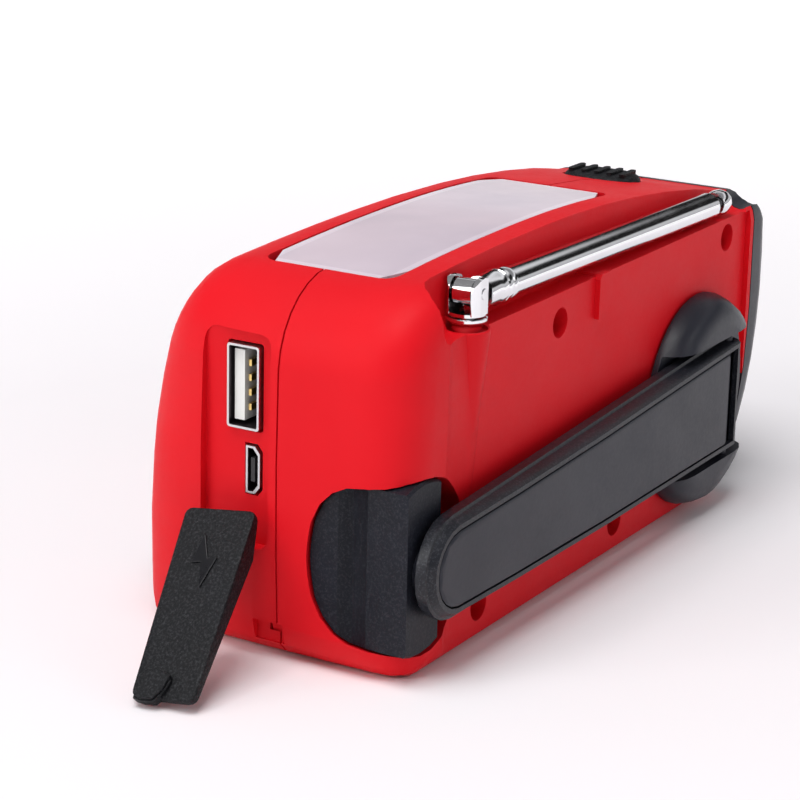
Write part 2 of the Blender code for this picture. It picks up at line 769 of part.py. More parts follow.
def port_cover():
    """Rubber flap with a chamfered root, a thick shoulder, a thin end and a pull tab."""
    root, end = (width / 2 for width in COVER_WIDTHS)

    def plate(inset):
        points = []
        for x, y, start in ((COVER_LENGTH - 1.2, end - 1.2, 0), (1.2, root - 1.2, 90),
                            (1.2, 1.2 - root, 180),
                            (COVER_LENGTH - 1.2, 1.2 - end, 270)):
            points += arc((x, y), 1.2 - inset, start, start + 90, 3)
        return points

    cover = loft("Z", [(-6.0, plate(0.0)), (-0.5, plate(0.0)), (-0.15, plate(0.1)), (0.0, plate(0.35))])
    low = [(-2.0, 0.05)] + [(x, -depth) for x, depth in COVER_INSIDE[1:]]
    low += [(COVER_LENGTH + 3.0, -0.9), (COVER_LENGTH + 3.0, -9.0), (-2.0, -9.0)]
    cut(cover, prism("Y", low, -10.0, 10.0))
    tab = [(-3.6, -4.5), (0.5, -4.3), (0.8, -2.8), (0.7, -0.8), (-0.6, 0.3), (-2.8, 1.0), (-4.2, -1.8)]
    fuse(cover, prism("Z", [(COVER_LENGTH + x, y) for x, y in tab], -0.8, 0.6))
    cover.data.transform(cover_frame())
    return finish(cover, "port_cover", "rubber", origin=leash_point())


def cover_leash():
    """Soft stem that slides through the end wall, with a barb inside and a round tip."""
    tip = leash_point().x - 1.2 * math.cos(COVER_TILT / 2)
    profile = [(0.0, 52.2), (1.1, 52.2), (2.0, 53.2), (2.0, 54.2), (0.95, 54.2), (0.95, tip)]
    profile += [(0.95 * math.cos(a), tip + 0.95 * math.sin(a)) for a in (0.5, 1.0)] + [(0.0, tip + 0.95)]
    return finish(turned("X", leash_line(), profile, 12), "cover_leash", "rubber", origin=leash_point())


# ---------------------------------------------------------------- crank

def crank_hub():
    """Drum on the back of the case with a slot for the arm, on its own shaft."""
    profile = [(0.0, 3.6), (2.9, 3.6), (2.9, HUB_BACK), (HUB_RADIUS, HUB_BACK),
               (HUB_RADIUS, HUB_BACK + 0.8),
               (HUB_RADIUS - 0.6, 24.4), (HUB_RADIUS - 1.5, 25.9), (HUB_RADIUS - 3.2, HUB_FRONT - 0.3),
               (HUB_RADIUS - 5.0, HUB_FRONT), (0.0, HUB_FRONT)]
    hub = turned("Y", (HUB_X, HUB_Z), profile, 40)
    slot = box((HUB_X - 30, 22.9, HUB_Z - SLOT_HALF), (HUB_X + 30, 32.0, HUB_Z + SLOT_HALF))
    cut(hub, slot)
    fuse(hub, rod("Z", (FOLD_X, FOLD_Y), 0.9, HUB_Z - SLOT_HALF - 1.5, HUB_Z + SLOT_HALF + 1.5, 12))
    return finish(hub, "crank_hub", "charcoal", origin=(HUB_X, HUB_BACK, HUB_Z))


def arm_edge(x):
    """Lower and upper edge of the arm at a distance along it."""
    share = (x - FOLD_X) / (ARM_TIP - FOLD_X)
    middle = HUB_Z - 3.4 * share
    half = 10.6 - 2.6 * share
    return middle - half, middle + half


def arm_outline(inset):
    """Side view of the arm: square at the hub, round at the tip."""
    near = ARM_TIP - 8.2
    low, high = arm_edge(near)
    centre = (near, (low + high) / 2)
    radius = (high - low) / 2 - inset
    points = arc(centre, radius, -86, 86, 10)
    far = FOLD_X - 2.3 + inset
    low, high = arm_edge(far)
    points += [(x, arm_edge(x)[1] - inset) for x in (24.0, -10.0)]
    points += [(far, high - inset), (far, low + inset)]
    points += [(x, arm_edge(x)[0] + inset) for x in (-10.0, 24.0)]
    return points


def thinned(item, reference):
    """Slope the outer surfaces of a plate down in straight steps towards its tip."""
    mesh = bmesh.new()
    mesh.from_mesh(item.data)
    for x, _ in ARM_SLOPE[1:-1]:
        parts = mesh.verts[:] + mesh.edges[:] + mesh.faces[:]
        bmesh.ops.bisect_plane(mesh, geom=parts, plane_co=(x, 0.0, 0.0), plane_no=(1.0, 0.0, 0.0))
    for vertex in mesh.verts:
        if vertex.co.y > reference:
            vertex.co.y -= slope_at(vertex.co.x)
    mesh.to_mesh(item.data)
    mesh.free()
    return item


def slope_at(x):
    """How much thinner the arm is at a distance along it."""
    for (start, low), (end, high) in zip(ARM_SLOPE, ARM_SLOPE[1:]):
        if start <= x <= end:
            return low + (high - low) * (x - start) / (end - start)
    return 0.0


def crank_arm():
    """Long arm with a stepped side, a rim and a bearing for the fold pin."""
    step = ARM_IN + 1.9
    arm = loft("Y", [(ARM_IN, arm_outline(0.25)), (ARM_IN + 0.25, arm_outline(0.0)),
                     (step, arm_outline(0.0)), (step + 0.15, arm_outline(0.5)),
                     (ARM_OUT - 0.5, arm_outline(0.9)), (ARM_OUT, arm_outline(1.25))])
    cut(arm, prism("Y", arm_outline(2.0), ARM_OUT - 1.0, ARM_OUT + 3.0))
    thinned(arm, ARM_OUT - 1.5)
    cut(arm, rod("Z", (FOLD_X, FOLD_Y), 1.2, HUB_Z - 20.0, HUB_Z + 20.0, 16))
    relief = box((FOLD_X - 5.0, 20.0, HUB_Z - 20.0), (FOLD_X, 32.0, HUB_Z + 20.0))
    cut(relief, rod("Z", (FOLD_X, FOLD_Y), 2.35, HUB_Z - 30.0, HUB_Z + 30.0, 24))
    cut(arm, relief)
    cut(arm, rod("Y", (GRIP_X, GRIP_Z), 1.15, 20.0, 26.0, 16))
    return finish(arm, "crank_arm", "charcoal", origin=(FOLD_X, FOLD_Y, HUB_Z))


def crank_arm_plate():
    """Smooth plate let into the outer face of the arm."""
    plate = loft("Y", [(ARM_OUT - 0.7, arm_outline(2.3)), (ARM_OUT - 0.1, arm_outline(2.3)),
                       (ARM_OUT + 0.15, arm_outline(2.7))])
    low_side = box((-80.0, 20.0, -10.0), (FOLD_X + 3.4, 40.0, 60.0))
    cut(plate, low_side)
    thinned(plate, ARM_OUT - 1.5)
    return finish(plate, "crank_arm_plate", "charcoal", origin=(FOLD_X, FOLD_Y, HUB_Z))


def grip_pin():
    """Headed pin on which the grip turns."""
    profile = [(0.0, 12.0), (1.9, 12.0), (1.9, 12.8), (0.85, 12.8), (0.85, 25.2), (0.0, 25.2)]
    return finish(turned("Y", (GRIP_X, GRIP_Z), profile, 12), "grip_pin", "steel",
                  origin=(GRIP_X, GRIP_BASE, GRIP_Z))


def crank_grip():
    """Paddle for two fingers: a domed body cut flat on two sides, with a shallow flute."""
    profile = grip_profile(0.0)
    profile += [(GRIP_RADIUS, GRIP_BASE - 0.4), (GRIP_RADIUS - 0.4, GRIP_BASE)]
    profile += [(3.4, GRIP_BASE), (3.4, GRIP_BASE + 0.6), (0.0, GRIP_BASE + 0.6)]
    grip = turned("Y", (GRIP_X, GRIP_Z), profile, 32)
    cut(grip, box((GRIP_X + GRIP_FLAT, -5.0, -5.0), (80.0, 40.0, 50.0)))
    cut(grip, box((30.0, -5.0, -5.0), (GRIP_X - GRIP_FLAT, 40.0, 50.0)))
    for side in (-1, 1):
        flute = rod("Z", (GRIP_X + side * (GRIP_FLAT + 12.3), 14.5), 12.8, -5.0, 50.0, 64)
        cut(grip, flute)
    cut(grip, rod("Y", (GRIP_X, GRIP_Z), 1.15, 0.0, 30.0, 16),
        rod("Y", (GRIP_X, GRIP_Z), 2.3, 0.0, 13.1, 16))
    return finish(grip, "crank_grip", "rubber", origin=(GRIP_X, GRIP_BASE, GRIP_Z))


# ---------------------------------------------------------------- gears

def gear_outline(centre, teeth, turn):
    """Simple straight-sided teeth around a pitch circle."""
    points = []
    pitch = teeth * TOOTH / 2
    step = 2 * math.pi / teeth
    for tooth in range(teeth):
        middle = turn + tooth * step
        for offset, radius in ((-0.27, pitch - 1.05), (-0.13, pitch + 0.85), (0.13, pitch + 0.85),
                               (0.27, pitch - 1.05)):
            angle = middle + offset * step
            points.append((centre[0] + radius * math.cos(angle), centre[1] + radius * math.sin(angle)))
    return points


def gear_places():
    """Centres of the idler and the rotor, from the pitch radii."""
    first = (DRIVE_TEETH + IDLER_PINION_TEETH) * TOOTH / 2
    idler = (HUB_X + first * math.cos(IDLER_ANGLE), HUB_Z + first * math.sin(IDLER_ANGLE))
    second = (IDLER_TEETH + ROTOR_TEETH) * TOOTH / 2
    rotor = (idler[0] + second * math.cos(ROTOR_ANGLE), idler[1] + second * math.sin(ROTOR_ANGLE))
    return idler, rotor


def facing_gap(angle, teeth):
    """Turn a gear so that a gap faces along an angle."""
    return angle + math.pi / teeth


def drive_gear():
    gear = prism("Y", gear_outline((HUB_X, HUB_Z), DRIVE_TEETH, IDLER_ANGLE), *GEAR_Y)
    cut(gear, rod("Y", (HUB_X, HUB_Z), 3.2, 0.0, 20.0, 20))
    return finish(gear, "drive_gear", "white", origin=(HUB_X, 10.5, HUB_Z))


def idler_gear():
    idler, _ = gear_places()
    pinion_turn = facing_gap(IDLER_ANGLE + math.pi, IDLER_PINION_TEETH)
    gear = prism("Y", gear_outline(idler, IDLER_TEETH, ROTOR_ANGLE), *WHEEL_Y)
    fuse(gear, prism("Y", gear_outline(idler, IDLER_PINION_TEETH, pinion_turn), WHEEL_Y[1] - 0.5,
                     PINION_Y[1]))
    cut(gear, rod("Y", idler, 1.3, 0.0, 20.0, 16))
    return finish(gear, "idler_gear", "white", origin=(idler[0], 8.0, idler[1]))


def idler_axle():
    idler, _ = gear_places()
    return finish(rod("Y", idler, 1.0, 3.4, 13.8, 12), "idler_axle", "steel")


def generator_rotor():
    """Shaft and small gear of the generator."""
    _, rotor = gear_places()
    turn = facing_gap(ROTOR_ANGLE + math.pi, ROTOR_TEETH)
    pinion = prism("Y", gear_outline(rotor, ROTOR_TEETH, turn), *WHEEL_Y)
    fuse(pinion, rod("Y", rotor, 1.0, -1.2, 9.2, 12))
    return finish(pinion, "generator_rotor", "brass", origin=(rotor[0], 6.7, rotor[1]))


def generator():
    _, rotor = gear_places()
    can = turned("Y", rotor, [(8.2, -1.6), (8.8, -1.0), (8.8, 4.0), (8.2, 4.6)], 24)
    cut(can, rod("Y", rotor, 1.3, -1.5, 10.0, 12))
    return finish(can, "generator", "steel")


def gear_plate():
    """Plate that carries the gear train between itself and the back shell."""
    idler, rotor = gear_places()
    plate = prism("Y", rounded_box((-51.8, 9.5), (-24.6, 43.6), 2.0, 2), 1.8, 3.1)
    cut(plate, rod("Y", (HUB_X, HUB_Z), 3.3, 0.0, 20.0, 20))
    fuse(plate, rod("Y", (-46.5, 12.0), 1.6, 3.0, 8.6, 12), rod("Y", (-49.0, 38.0), 2.0, 3.0, 19.9, 12))
    return finish(plate, "gear_plate", "steel")


# ---------------------------------------------------------------- inside

def battery():
    cell = bevelled("Y", lambda inset: rounded_box((0.0 + inset, 12.0 + inset),
                                                   (40.0 - inset, 40.6 - inset), 2.0, 3),
                    1.4, 8.6, 0.8)
    return finish(cell, "battery", "foil")


def speaker_frame():
    """Speaker basket with its magnet."""
    profile = [(0.0, -11.0), (11.0, -11.0), (11.0, -15.8), (12.6, -16.6), (18.4, -19.0), (18.4, -20.8),
               (16.8, -20.8), (16.8, -19.8), (5.0, -14.0), (0.0, -14.0)]
    return finish(turned("Y", SPEAKER, profile, 28), "speaker_frame", "steel")


def speaker_cone():
    profile = [(0.0, -16.0), (4.6, -14.6), (16.2, -20.3), (16.2, -20.8), (15.6, -21.0), (5.4, -16.0),
               (4.0, -16.8), (0.0, -17.4)]
    return finish(turned("Y", SPEAKER, profile, 24), "speaker_cone", "paper")


def dial_window():
    """Clear window that follows the front's own curve."""
    return finish(window_skin(0.3, 0.1, 1.4), "dial_window", "clear")


def dial_plate():
    outline = rounded_box((WINDOW_X[0], WINDOW_Z[0]), (WINDOW_X[1], WINDOW_Z[1]), 1.0, 1)
    return finish(prism("Y", outline, -17.6, -16.9), "dial_plate", "black")


def dial_pointer():
    """Needle on a toothed rack that runs over the tuning pinion, behind the dial."""
    tip = TUNING[1] + PINION_TEETH * TOOTH / 2 - 0.85
    points = []
    for tooth in range(-4, 4):
        x = TUNING[0] + tooth * math.pi * TOOTH
        points += [(x - 1.0, tip + 1.9), (x - 0.4, tip), (x + 0.4, tip), (x + 1.0, tip + 1.9)]
    low, high = POINTER_X - 0.6, TUNING[0] + 3 * math.pi * TOOTH + 1.8
    points += [(high, tip + 1.9), (high, tip + 4.0), (low, tip + 4.0), (low, tip + 1.9)]
    rack = prism("Y", points, -16.4, -14.6)
    fuse(rack, box((POINTER_X - 0.5, -15.6, 30.0), (POINTER_X + 0.7, -14.6, 52.4)))
    fuse(rack, box((POINTER_X - 0.5, -19.0, 51.2), (POINTER_X + 0.7, -14.6, 52.4)))
    fuse(rack, box((POINTER_X - 0.5, -19.0, 39.5), (POINTER_X + 0.7, -18.1, 52.4)))
    return finish(rack, "dial_pointer", "amber", origin=(POINTER_X, -15.5, 40.0))


def knob(name, spot, radius, depth, ridges):
    """Ridged knob with its shaft through the front."""
    points = []
    for ridge in range(ridges):
        for offset, draw in ((0.0, 0.0), (0.5, 0.7)):
            angle = 2 * math.pi * (ridge + offset) / ridges
            points.append((spot[0] + (radius - draw) * math.cos(angle),
                           spot[1] + (radius - draw) * math.sin(angle)))

    def inner(share):
        return [(spot[0] + (p[0] - spot[0]) * share, spot[1] + (p[1] - spot[1]) * share) for p in points]

    front = KNOB_BACK - depth
    body = loft("Y", [(front, inner(0.9)), (front + 0.8, inner(1.0)), (KNOB_BACK, inner(1.0))])
    fuse(body, rod("Y", spot, 2.6, KNOB_BACK - 0.6, -10.6, 16))
    cut(body, prism("Y", around((spot[0], spot[1] + radius * 0.55), (1.0, radius * 0.5), 0.45, 2),
                    front - 1.0, front + 0.5))
    if name == "tuning_knob":
        turn = math.pi / 2 + math.pi / PINION_TEETH
        fuse(body, prism("Y", gear_outline(spot, PINION_TEETH, turn), -16.6, -14.4))
    return finish(body, name, "charcoal", origin=(spot[0], KNOB_BACK, spot[1]))


def control_body(name, spot, size, front, back):
    """Box of a rotary control behind its knob, with a hole for the shaft."""
    body = prism("Y", around(spot, size, 1.0, 2), front, back)
    cut(body, rod("Y", spot, 2.9, -28.0, -10.2, 16))
    return finish(body, name, "black")


def band_slider():
    x, z = BAND
    slider = box((x - 1.1, -29.6, z - 1.6), (x + 1.1, -19.6, z + 1.6))
    fuse(slider, box((x - 2.6, -24.2, z - 3.4), (x + 2.6, -23.0, z + 3.4)))
    return finish(slider, "band_slider", "black", origin=(x, -26.0, z))


def band_switch():
    x, z = BAND
    return finish(box((x - 3.0, -18.8, z - 8.0), (x + 3.0, -12.8, z + 8.0)), "band_switch", "steel")


# ---------------------------------------------------------------- antenna

def antenna_ferrule():
    """Flared foot pressed into the shelf; its bore lets the fork turn."""
    profile = [(2.2, 50.7), (2.9, 52.2), (3.15, 52.4), (3.15, 52.8), (3.0, 52.9), (1.5, 52.9),
               (1.5, 50.7), (2.2, 50.7)]
    return finish(turned("Z", (MAST_X, MAST_Y), profile, 24), "antenna_ferrule", "chrome")


def antenna_fork():
    """Strap fork on a stem that turns in the ferrule."""
    profile = [(0.0, 44.4), (1.9, 44.4), (1.9, 45.6), (1.2, 45.6), (1.2, 53.2), (2.9, 53.2), (2.9, 53.7),
               (0.0, 53.7)]
    fork = turned("Z", (MAST_X, MAST_Y), profile, 20)
    cheek = arc((MAST_X, PIVOT_Z), 2.5, 0, 180, 6) + [(MAST_X - 2.3, 53.4), (MAST_X + 2.3, 53.4)]
    for start in (MAST_Y - 2.9, MAST_Y + 1.9):
        fuse(fork, prism("Y", cheek, start, start + 1.0))
    fuse(fork, rod("Y", (MAST_X, PIVOT_Z), 0.9, MAST_Y - 3.1, MAST_Y + 3.1, 12))
    common(fork, rod("Z", (MAST_X, MAST_Y), 3.1, 40.0, 65.0, 32))
    return finish(fork, "antenna_fork", "chrome", origin=(MAST_X, MAST_Y, 50.0))


def rod_matrix():
    """Place of the rod's own frame: its long way runs along local -X, a little below the pivot."""
    turn = Matrix.Rotation(-ROD_SLOPE, 4, "Y")
    return Matrix.Translation((MAST_X, MAST_Y, PIVOT_Z)) @ turn @ Matrix.Translation((0.0, 0.0, -ROD_DROP))


def rod_groove():
    """Groove through the torch end, in line with the stowed rod, so that it can be drawn out."""
    groove = prism("X", arc((0.0, 0.0), 2.8, 180, 360, 8) + [(2.8, 12.0), (-2.8, 12.0)], -150.0, -95.0)
    groove.data.transform(rod_matrix())
    return groove


def antenna_base():
    """Outermost tube with the flattened knuckle and the crimped collar."""
    outer, inner = ROD_RADII[0]
    profile = [(inner, -6.0), (2.6, -6.0), (2.75, -7.0), (2.75, -8.2), (2.4, -8.5), (2.7, -8.9),
               (2.7, -9.9), (2.4, -10.2), (2.65, -10.6), (2.65, -11.4), (outer, -11.8),
               (outer, -ROD_LENGTH), (inner, -ROD_LENGTH), (inner, -6.0)]
    base = turned("X", (0.0, 0.0), profile, 16)
    fuse(base, rod("X", (0.0, 0.0), 2.6, -7.2, -3.3, 16))
    knuckle = arc((0.0, ROD_DROP), 2.1, -90, 90, 8) + [(-4.2, 1.9), (-4.2, -1.9)]
    fuse(base, prism("Y", knuckle, -1.55, 1.55))
    cut(base, rod("Y", (0.0, ROD_DROP), 1.2, -5.0, 5.0, 16))
    base.data.transform(rod_matrix())
    return finish(base, "antenna_base", "chrome", origin=(MAST_X, MAST_Y, PIVOT_Z))


def antenna_section(index):
    """One telescoping tube, stowed inside the one before."""
    outer, inner = ROD_RADII[index]
    start = -8.0 - 1.5 * index
    end = -ROD_LENGTH - 0.8 * index
    if inner:
        tube_profile = [(outer, start), (outer, end), (inner, end), (inner, start), (outer, start)]
        section = turned("X", (0.0, 0.0), tube_profile, 12)
    else:
        section = turned("X", (0.0, 0.0), [(0.0, start), (outer, start), (outer, end), (2.0, end - 0.1),
                                           (2.3, end - 0.9), (2.3, end - 2.6), (1.8, end - 3.8),
                                           (0.9, end - 4.4), (0.0, end - 4.5)], 12)
    section.data.transform(rod_matrix())
    return finish(section, f"antenna_section_{index + 1}", "chrome", origin=(MAST_X, MAST_Y, PIVOT_Z))


# ---------------------------------------------------------------- assembly

def build():
    clear_scene()
    front_shell()
    back_shell()
    torch_bezel()
    torch_lens()
    torch_reflector()
    lamp_board()
    for index, spot in enumerate(lamp_places(), 1):
        torch_lamp(index, spot)
    for index, spot in enumerate(SCREWS, 1):
        case_screw(index, spot)
    solar_cell()
    solar_cover()
    torch_button()
    torch_switch()
    main_board()
    usb_a_shell()
    usb_a_tongue()
    for index in (1, 2, 3, 4):
        usb_contact(index)
    micro_usb_shell()
    micro_usb_tongue()
    port_cover()
    cover_leash()
    crank_hub()
    crank_arm()
    crank_arm_plate()
    grip_pin()
    crank_grip()
    drive_gear()
    idler_gear()
    idler_axle()
    generator_rotor()
    generator()
    gear_plate()
    battery()
    speaker_frame()
    speaker_cone()
    dial_window()
    dial_plate()
    dial_pointer()
    knob("tuning_knob", TUNING, 10.0, 5.5, 20)
    knob("volume_knob", VOLUME, 6.5, 4.5, 14)
    control_body("tuning_capacitor", TUNING, (18.0, 16.0), -13.6, -6.4)
    control_body("volume_control", VOLUME, (11.0, 11.0), -17.5, -8.0)
    band_slider()
    band_switch()
    antenna_ferrule()
    antenna_fork()
    antenna_base()
    for index in (1, 2, 3):
        antenna_section(index)


build()
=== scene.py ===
import math

import bmesh
import bpy
from mathutils import Matrix, Vector

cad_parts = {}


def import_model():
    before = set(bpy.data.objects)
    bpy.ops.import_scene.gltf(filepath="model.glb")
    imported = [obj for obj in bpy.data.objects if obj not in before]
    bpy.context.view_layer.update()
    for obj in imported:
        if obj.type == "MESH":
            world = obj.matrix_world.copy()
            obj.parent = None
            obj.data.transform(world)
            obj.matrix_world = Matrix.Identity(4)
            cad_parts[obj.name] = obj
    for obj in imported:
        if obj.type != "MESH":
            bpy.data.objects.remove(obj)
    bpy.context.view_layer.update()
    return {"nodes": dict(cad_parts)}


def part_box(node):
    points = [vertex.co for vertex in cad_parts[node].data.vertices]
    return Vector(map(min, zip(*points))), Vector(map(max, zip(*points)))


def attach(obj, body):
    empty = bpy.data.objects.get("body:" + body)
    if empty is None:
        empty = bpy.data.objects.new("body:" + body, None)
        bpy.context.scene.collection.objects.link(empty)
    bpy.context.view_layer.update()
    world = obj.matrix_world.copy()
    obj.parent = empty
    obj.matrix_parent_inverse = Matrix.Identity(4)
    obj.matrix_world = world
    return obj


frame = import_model()
nodes = frame["nodes"]


MM = 0.001

# The camera's azimuth, elevation and roll in degrees, its place in metres and its lens in mm
CAMERA_AZIMUTH = 120.4555
CAMERA_ELEVATION = 16.945
CAMERA_ROLL = 1.335
CAMERA_PLACE = (0.38333, 0.20961, 0.15870)
CAMERA_LENS = 122.0

GROOVE_DEPTH = 2.2 * MM
RIM_WIDTH = 1.3 * MM
FINGER_SMEAR = 0.05


# ---------------------------------------------------------------- shader helpers

class Shader:
    """A Principled material under construction, with short ways to add nodes."""

    def __init__(self, name, roughness=0.5, metallic=0.0, specular=0.5, coat=0.0,
                 coat_roughness=0.1):
        self.material = bpy.data.materials.new(name)
        self.material.use_nodes = True
        self.tree = self.material.node_tree
        self.base = self.tree.nodes["Principled BSDF"]
        self.base.inputs["Roughness"].default_value = roughness
        self.base.inputs["Metallic"].default_value = metallic
        self.base.inputs["Specular IOR Level"].default_value = specular
        self.base.inputs["Coat Weight"].default_value = coat
        self.base.inputs["Coat Roughness"].default_value = coat_roughness
        self.place = self.node("ShaderNodeTexCoord").outputs["Object"]

    def node(self, kind, **settings):
        made = self.tree.nodes.new(kind)
        for key, value in settings.items():
            setattr(made, key, value)
        return made

    def link(self, source, target):
        self.tree.links.new(source, target)
        return self

    def noise(self, scale, detail=2.0, roughness=0.5, distortion=0.0, stretch=None):
        made = self.node("ShaderNodeTexNoise")
        made.inputs["Scale"].default_value = scale
        made.inputs["Detail"].default_value = detail
        made.inputs["Roughness"].default_value = roughness
        made.inputs["Distortion"].default_value = distortion
        source = self.place
        if stretch:
            mapping = self.node("ShaderNodeMapping")
            mapping.inputs["Scale"].default_value = stretch
            self.link(self.place, mapping.inputs["Vector"])
            source = mapping.outputs["Vector"]
        self.link(source, made.inputs["Vector"])
        return made.outputs["Fac"]

    def spots(self, scale, feature="F1", randomness=1.0):
        made = self.node("ShaderNodeTexVoronoi", feature=feature)
        made.inputs["Scale"].default_value = scale
        made.inputs["Randomness"].default_value = randomness
        self.link(self.place, made.inputs["Vector"])
        return made.outputs["Distance"]

    def spread(self, source, low, high, start=0.3, end=0.7):
        """Map a texture value to a range of numbers."""
        made = self.node("ShaderNodeMapRange")
        made.inputs["From Min"].default_value = start
        made.inputs["From Max"].default_value = end
        made.inputs["To Min"].default_value = low
        made.inputs["To Max"].default_value = high
        self.link(source, made.inputs["Value"])
        return made.outputs["Result"]

    def away(self, socket, middle):
        """Distance from a middle plane, along one axis of the piece."""
        parts = self.node("ShaderNodeSeparateXYZ")
        self.link(self.place, parts.inputs["Vector"])
        return self.maths("ABSOLUTE", self.maths("SUBTRACT", parts.outputs[socket], middle), 0.0)

    def maths(self, operation, first, second):
        made = self.node("ShaderNodeMath", operation=operation)
        for socket, value in zip(made.inputs, (first, second)):
            if isinstance(value, (int, float)):
                socket.default_value = value
            else:
                self.link(value, socket)
        return made.outputs["Value"]

    def ramp(self, source, stops):
        made = self.node("ShaderNodeValToRGB")
        for _ in range(len(stops) - 2):
            made.color_ramp.elements.new(0.5)
        for element, (position, colour) in zip(made.color_ramp.elements, stops):
            element.position = position
            element.color = (*colour, 1.0)
        self.link(source, made.inputs["Fac"])
        return made.outputs["Color"]

    def mix(self, blend, first, second, share=1.0):
        made = self.node("ShaderNodeMixRGB", blend_type=blend)
        made.inputs["Fac"].default_value = share
        self.link(first, made.inputs["Color1"])
        self.link(second, made.inputs["Color2"])
        return made.outputs["Color"]

    def colour(self, source):
        return self.link(source, self.base.inputs["Base Color"])

    def rough(self, source):
        return self.link(source, self.base.inputs["Roughness"])

    def bump(self, layers):
        """Stack bumps, each a texture, a depth in metres and a strength."""
        last = None
        for source, depth, strength in layers:
            made = self.node("ShaderNodeBump")
            made.inputs["Distance"].default_value = depth
            made.inputs["Strength"].default_value = strength
            self.link(source, made.inputs["Height"])
            if last:
                self.link(last, made.inputs["Normal"])
            last = made.outputs["Normal"]
        return self.link(last, self.base.inputs["Normal"])


def toned(colour, factor):
    return tuple(min(c * factor, 1.0) for c in colour)


def plastic(name, colour, roughness=0.42, grain=900.0, depth=0.00004, wear=0.06, specular=0.5):
    """Moulded plastic: fine spark texture, faint colour drift and rubbed patches."""
    s = Shader(name, roughness, 0.0, specular, 0.0, 0.25)
    drift = s.noise(28.0, 3.0, 0.6)
    s.colour(s.ramp(drift, ((0.3, toned(colour, 1.0 - wear)), (0.7, toned(colour, 1.0 + wear)))))
    rubbed = s.noise(70.0, 4.0, 0.65, 0.4)
    fine = s.noise(grain, 2.0, 0.6)
    rubs = s.spread(rubbed, roughness - 0.05, roughness + 0.07)
    s.rough(s.maths("ADD", rubs, s.spread(fine, -0.03, 0.03)))
    s.bump(((s.noise(60.0, 2.0, 0.5), 0.00008, 0.12), (fine, depth, 0.35)))
    return s.material


def textured_plastic(name, colour, speck, roughness, grain, depth, strength, specular,
                     groove=None):
    """Dark plastic with a sparkling moulded texture.

    A groove is a shallow crease: its place along Y and its half width.
    """
    s = Shader(name, roughness, 0.0, specular)
    lint = s.noise(2600.0, 2.0, 0.7)
    patches = s.noise(45.0, 4.0, 0.7)
    tone = s.ramp(lint, ((0.48, colour), (0.80, speck)))
    worn = s.ramp(patches, ((0.45, (0.0, 0.0, 0.0)), (0.80, toned(colour, 0.9))))
    s.colour(s.mix("ADD", tone, worn))
    s.rough(s.spread(patches, roughness - 0.06, roughness + 0.08))
    layers = [(s.noise(grain, 3.0, 0.7), depth, strength),
              (s.spots(grain * 1.6), depth * 0.6, strength * 0.7)]
    if groove:
        middle, half = groove
        layers.append((s.spread(s.away("Y", middle), 0.0, 1.0, 0.0, half), GROOVE_DEPTH, 1.0))
    s.bump(layers)
    return s.material


def metal(name, colour, roughness, stretch, grain=900.0):
    """Plated or drawn metal with faint lengthwise lines and finger marks."""
    s = Shader(name, roughness, 1.0)
    lines = s.noise(grain, 3.0, 0.6, 0.0, stretch)
    marks = s.noise(90.0, 4.0, 0.7, 0.6)
    s.colour(s.ramp(marks, ((0.3, toned(colour, 0.93)), (0.7, colour))))
    smears = s.spread(marks, roughness, roughness + FINGER_SMEAR)
    s.rough(s.maths("ADD", smears, s.spread(lines, -0.01, 0.03)))
    s.bump(((lines, 0.00001, 0.12),))
    return s.material


def clear_plastic(name, colour, roughness):
    """Clear moulded plastic with faint haze."""
    s = Shader(name, roughness)
    s.base.inputs["Transmission Weight"].default_value = 1.0
    s.base.inputs["IOR"].default_value = 1.49
    haze = s.noise(45.0, 4.0, 0.6, 0.3)
    s.colour(s.ramp(haze, ((0.3, toned(colour, 0.97)), (0.7, colour))))
    s.rough(s.spread(haze, roughness, roughness + 0.08))
    s.bump(((s.noise(300.0, 2.0, 0.5), 0.00001, 0.1),))
    return s.material


def panel_cover():
    """Milky cover with a clearer, brighter border, like the frame of a panel."""
    s = Shader("solar_cover_plastic", 0.2, 0.0, 0.5, 0.4, 0.08)
    low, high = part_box("solar_cover")
    rims = []
    for axis, socket in ((0, "X"), (1, "Y")):
        middle, half = (low[axis] + high[axis]) / 2, (high[axis] - low[axis]) / 2
        rims.append(s.maths("GREATER_THAN", s.away(socket, middle), half - RIM_WIDTH))
    rim = s.maths("MAXIMUM", rims[0], rims[1])
    haze = s.noise(26.0, 3.0, 0.5, 0.6)
    milk = s.ramp(haze, ((0.3, (0.70, 0.60, 0.69)), (0.7, (0.88, 0.73, 0.80))))
    s.colour(s.mix("ADD", milk, s.ramp(rim, ((0.0, (0.0, 0.0, 0.0)), (1.0, (0.10, 0.10, 0.10))))))
    s.rough(s.spread(s.noise(90.0, 4.0, 0.6), 0.14, 0.26))
    s.bump(((haze, 0.00006, 0.3), (s.noise(500.0), 0.00001, 0.2), (rim, 0.00012, 0.4)))
    return s.material


def solar_material():
    """Dark blue cells parted by thin silver lines."""
    s = Shader("solar_cell", 0.25)
    wave = s.node("ShaderNodeTexWave", wave_type="BANDS", bands_direction="X")
    wave.inputs["Scale"].default_value = 14.0
    s.link(s.place, wave.inputs["Vector"])
    cells = ((0.0, (0.05, 0.05, 0.12)), (0.94, (0.06, 0.06, 0.14)), (0.98, (0.6, 0.6, 0.62)))
    s.colour(s.ramp(wave.outputs["Fac"], cells))
    s.rough(s.spread(s.noise(200.0), 0.2, 0.3))
    s.bump(((s.noise(600.0), 0.00001, 0.2),))
    return s.material


# ---------------------------------------------------------------- materials

